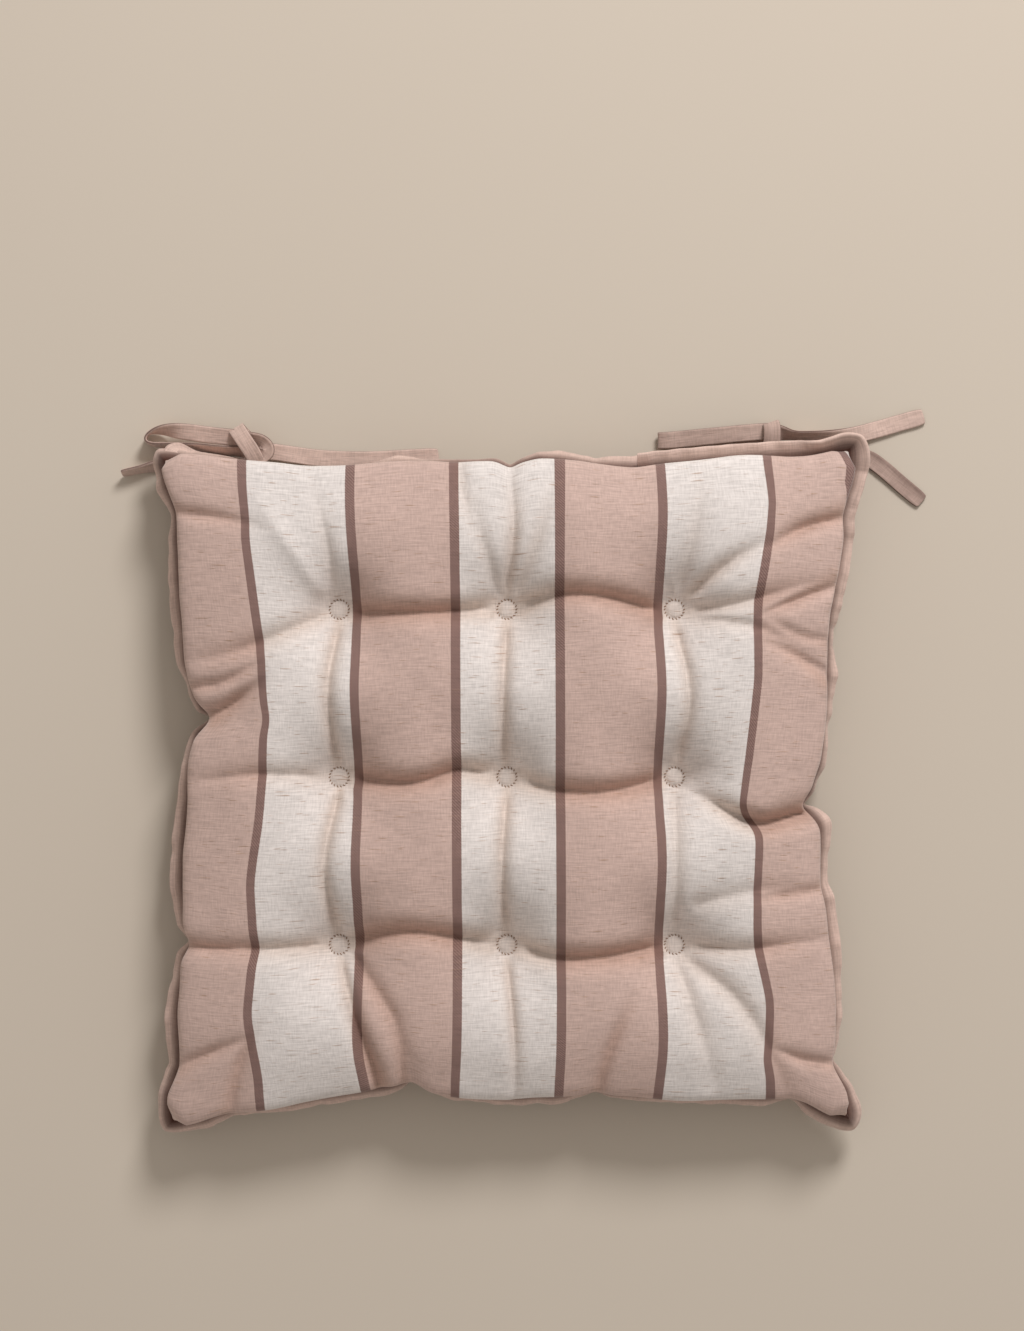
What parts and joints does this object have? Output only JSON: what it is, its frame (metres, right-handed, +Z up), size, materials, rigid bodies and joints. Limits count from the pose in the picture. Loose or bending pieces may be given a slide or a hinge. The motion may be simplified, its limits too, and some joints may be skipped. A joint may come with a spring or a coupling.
{
  "type": "chair seat pad",
  "caption": "Square tufted seat pad for a dining chair: striped woven cover, folded flat edging, stitched round tufts and knotted fabric ties at the back corners.",
  "frame": {"origin": "middle of the pad's outline, on the surface that the pad lies on", "axes": "+Z up through the pad, +Y towards the back edge with the ties, +X to the right"},
  "size_m": [0.4736, 0.4218, 0.0593],
  "materials": {
    "striped_cloth": "matte slub weave with cream, dusty pink and dark mauve stripes",
    "plain_cloth": "matte plain weave, dusty pink",
    "fibre": "loose white hollow fibre",
    "thread": "matte twisted sewing thread"
  },
  "bodies": {
    "pad": {"top_panel": "striped_cloth", "bottom_panel": "striped_cloth", "edge_strip": "plain_cloth", "fibre_filling": "fibre", "seam_thread": "thread", "closing_thread": "thread", "tuft_1": "thread", "tuft_2": "thread", "tuft_3": "thread", "tuft_4": "thread", "tuft_5": "thread", "tuft_6": "thread", "tuft_7": "thread", "tuft_8": "thread", "tuft_9": "thread"},
    "left_ties": {"tie_left_a": "plain_cloth", "tie_left_b": "plain_cloth"},
    "right_ties": {"tie_right_a": "plain_cloth", "tie_right_b": "plain_cloth"}
  },
  "joints": [
    {"name": "left_ties_swing", "type": "hinge", "parent": "pad", "child": "left_ties", "pos_m": [-0.195, 0.191, 0.0215], "axis": [0, 0, 1], "range_deg": [0, 60]},
    {"name": "right_ties_swing", "type": "hinge", "parent": "pad", "child": "right_ties", "pos_m": [0.195, 0.191, 0.0215], "axis": [0, 0, 1], "range_deg": [-50, 0]}
  ]
}
